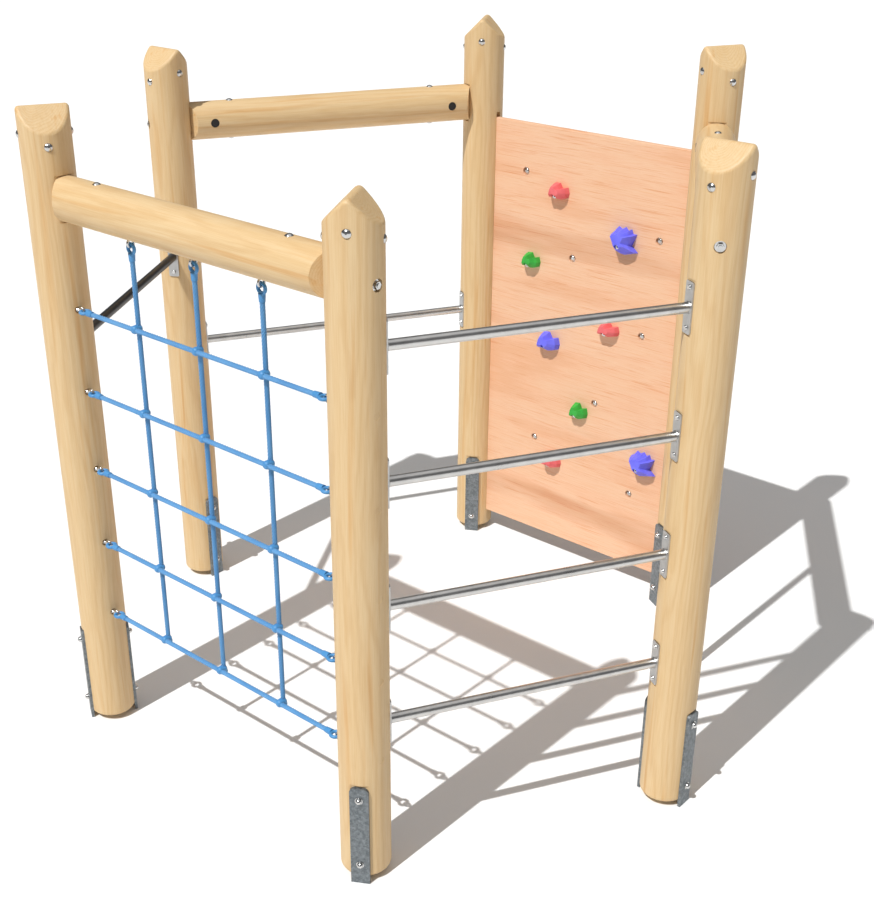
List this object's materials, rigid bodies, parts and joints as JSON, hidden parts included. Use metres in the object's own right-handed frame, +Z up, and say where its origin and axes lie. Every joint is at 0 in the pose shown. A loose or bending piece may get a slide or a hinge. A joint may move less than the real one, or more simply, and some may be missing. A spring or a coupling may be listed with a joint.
{
  "type": "rock climbing wall",
  "caption": "Six-sided wooden climbing frame with a bolted-hold climbing wall, rung ladder, rope net, sliding pole and turning bars between round posts.",
  "frame": {"origin": "centre of the footprint's bounding box, at ground level", "axes": "+Z up; +Y from the front post towards the rear post; +X towards the sliding pole side"},
  "size_m": [2.1976, 2.531, 2.2634],
  "materials": {
    "post_wood": "turned softwood, oiled, satin",
    "beam_wood": "turned softwood, oiled, satin",
    "galvanised": "hot-dip galvanised, dull",
    "polished_steel": "polished stainless",
    "black_bar": "gloss black",
    "plate_steel": "satin stainless",
    "bright_steel": "bright stainless",
    "panel_ply": "stained plywood, satin",
    "hold_red": "moulded resin, fine grit",
    "hold_blue": "moulded resin, fine grit",
    "hold_green": "moulded resin, fine grit",
    "rope_blue": "braided over steel strands",
    "joiner_blue": "moulded nylon",
    "plug_black": "moulded, matt"
  },
  "bodies": {
    "root": {"anchor_bolts": "bright_steel", "anchor_nuts": "bright_steel", "anchors_front": "galvanised", "anchors_front_left": "galvanised", "anchors_front_right": "galvanised", "anchors_rear": "galvanised", "anchors_rear_left": "galvanised", "anchors_rear_right": "galvanised", "bar_plates": "plate_steel", "bar_screws": "bright_steel", "beam_eyes": "bright_steel", "beam_mid_bar_side": "beam_wood", "beam_net_side": "beam_wood", "beam_plugs": "plug_black", "beam_pole_side": "beam_wood", "beam_studs": "bright_steel", "cross_dowels": "bright_steel", "dome_nuts": "bright_steel", "high_bar": "black_bar", "hold_blue_lower": "hold_blue", "hold_blue_middle": "hold_blue", "hold_blue_top": "hold_blue", "hold_bolts": "bright_steel", "hold_green_lower": "hold_green", "hold_green_upper": "hold_green", "hold_nuts": "bright_steel", "hold_red_bottom": "hold_red", "hold_red_middle": "hold_red", "hold_red_top": "hold_red", "mid_bar": "black_bar", "outer_holds_blue": "hold_blue", "outer_holds_green": "hold_green", "outer_holds_red": "hold_red", "panel": "panel_ply", "pole": "polished_steel", "pole_collar": "plate_steel", "post_eye_bolts": "bright_steel", "post_front": "post_wood", "post_front_left": "post_wood", "post_front_right": "post_wood", "post_plugs": "post_wood", "post_rear": "post_wood", "post_rear_left": "post_wood", "post_rear_right": "post_wood", "rope_joiners": "joiner_blue", "rope_level_1": "rope_blue", "rope_level_2": "rope_blue", "rope_level_3": "rope_blue", "rope_level_4": "rope_blue", "rope_level_5": "rope_blue", "rope_sockets": "joiner_blue", "rope_upright_1": "rope_blue", "rope_upright_2": "rope_blue", "rope_upright_3": "rope_blue", "rung_1": "polished_steel", "rung_2": "polished_steel", "rung_3": "polished_steel", "rung_4": "polished_steel", "sunk_nuts": "bright_steel", "tie_rods": "bright_steel"}
  },
  "joints": []
}
